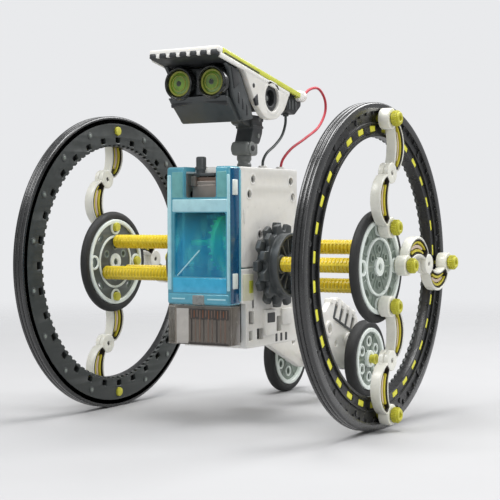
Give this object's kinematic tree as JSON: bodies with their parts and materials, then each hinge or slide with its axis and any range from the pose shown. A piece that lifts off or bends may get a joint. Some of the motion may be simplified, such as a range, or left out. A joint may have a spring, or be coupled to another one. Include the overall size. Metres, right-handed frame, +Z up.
{
  "type": "solar robot kit",
  "caption": "Small toy robot on tall spoked hoop wheels: slim geared body, tilting head with lens eyes and a solar panel roof, and a tail with small rolling wheels.",
  "frame": {"origin": "on the floor at the middle of the bounding box, which is 13 mm behind the wheel axle", "axes": "+X along the wheel axle towards the robot's left-hand wheel as it faces -Y, outward from the right_hub_face mount; +Y towards the tail; +Z up"},
  "size_m": [0.1166, 0.126, 0.1164],
  "materials": {
    "hoop": "satin moulded",
    "insert": "satin moulded",
    "hub": "satin moulded",
    "band": "smooth rubber",
    "arm": "glossy moulded",
    "pin": "satin moulded",
    "rod": "glossy moulded",
    "dark": "satin moulded",
    "white": "glossy moulded",
    "cover": "clear tinted",
    "grey": "smoky moulded",
    "can": "brushed",
    "green": "glossy moulded",
    "lens": "clear tinted",
    "panel": "glossy",
    "lead_red": "sleeved",
    "lead_black": "sleeved"
  },
  "bodies": {
    "chassis": {"main_frame": "white", "gearbox_cover": "cover", "base_block": "grey", "motor": "can", "tail_bracket": "white"},
    "drive": {"output_axle": "white", "sprocket_left": "dark", "rim_left": "hoop", "rim_insert_left": "insert", "hub_disc_left": "hub", "hub_tyre_left": "band", "arm_inner_top_left": "arm", "arm_outer_top_left": "arm", "pin_hub_top_left": "pin", "pin_rim_top_left": "pin", "arm_inner_bottom_left": "arm", "arm_outer_bottom_left": "arm", "pin_hub_bottom_left": "pin", "pin_rim_bottom_left": "pin", "arm_inner_rear_left": "arm", "arm_outer_rear_left": "arm", "pin_hub_rear_left": "pin", "pin_rim_rear_left": "pin", "rod_1_left": "rod", "rod_2_left": "rod", "rod_3_left": "rod", "sprocket_right": "dark", "rim_right": "hoop", "rim_insert_right": "insert", "hub_disc_right": "hub", "hub_tyre_right": "band", "arm_inner_top_right": "arm", "arm_outer_top_right": "arm", "pin_hub_top_right": "pin", "pin_rim_top_right": "pin", "arm_inner_bottom_right": "arm", "arm_outer_bottom_right": "arm", "pin_hub_bottom_right": "pin", "pin_rim_bottom_right": "pin", "arm_inner_rear_right": "arm", "arm_outer_rear_right": "arm", "pin_hub_rear_right": "pin", "pin_rim_rear_right": "pin", "rod_1_right": "rod", "rod_2_right": "rod", "rod_3_right": "rod"},
    "idler": {"crown_gear": "green"},
    "rotor": {"motor_pinion": "white"},
    "tail_wheel_left": {"tail_disc_left": "hub", "tail_tyre_left": "band"},
    "tail_wheel_right": {"tail_disc_right": "hub", "tail_tyre_right": "band"},
    "neck": {"neck": "dark", "wire_red": "lead_red", "wire_black": "lead_black"},
    "head": {"head_shell": "white", "head_face": "dark", "eye_left": "lens", "eye_right": "lens", "solar_panel": "panel"}
  },
  "joints": [
    {"name": "wheel_drive", "type": "hinge", "parent": "chassis", "child": "drive", "pos_m": [0, -0.013, 0.05], "axis": [1, 0, 0], "continuous": true},
    {"name": "idler_spin", "type": "hinge", "parent": "chassis", "child": "idler", "pos_m": [0, -0.025, 0.05711], "axis": [1, 0, 0], "continuous": true},
    {"name": "motor_spin", "type": "hinge", "parent": "chassis", "child": "rotor", "pos_m": [0, -0.025, 0.065], "axis": [0, 0, 1], "continuous": true},
    {"name": "tail_spin_left", "type": "hinge", "parent": "chassis", "child": "tail_wheel_left", "pos_m": [-0.0165, 0.049, 0.014], "axis": [1, 0, 0], "continuous": true},
    {"name": "tail_spin_right", "type": "hinge", "parent": "chassis", "child": "tail_wheel_right", "pos_m": [0.0165, 0.049, 0.014], "axis": [1, 0, 0], "continuous": true},
    {"name": "head_pan", "type": "hinge", "parent": "chassis", "child": "neck", "pos_m": [0, -0.008, 0.084], "axis": [0, 0, 1], "range_deg": [-50, 50], "deforming": ["wire_red", "wire_black"]},
    {"name": "head_tilt", "type": "hinge", "parent": "neck", "child": "head", "pos_m": [0, -0.0112, 0.1035], "axis": [1, 0, 0], "range_deg": [-25, 25], "deforming": ["wire_red", "wire_black"]}
  ],
  "couplings": [
    {"joint": "idler_spin", "follows": "wheel_drive", "ratio": -1.8182},
    {"joint": "motor_spin", "follows": "wheel_drive", "ratio": 5.4545}
  ]
}
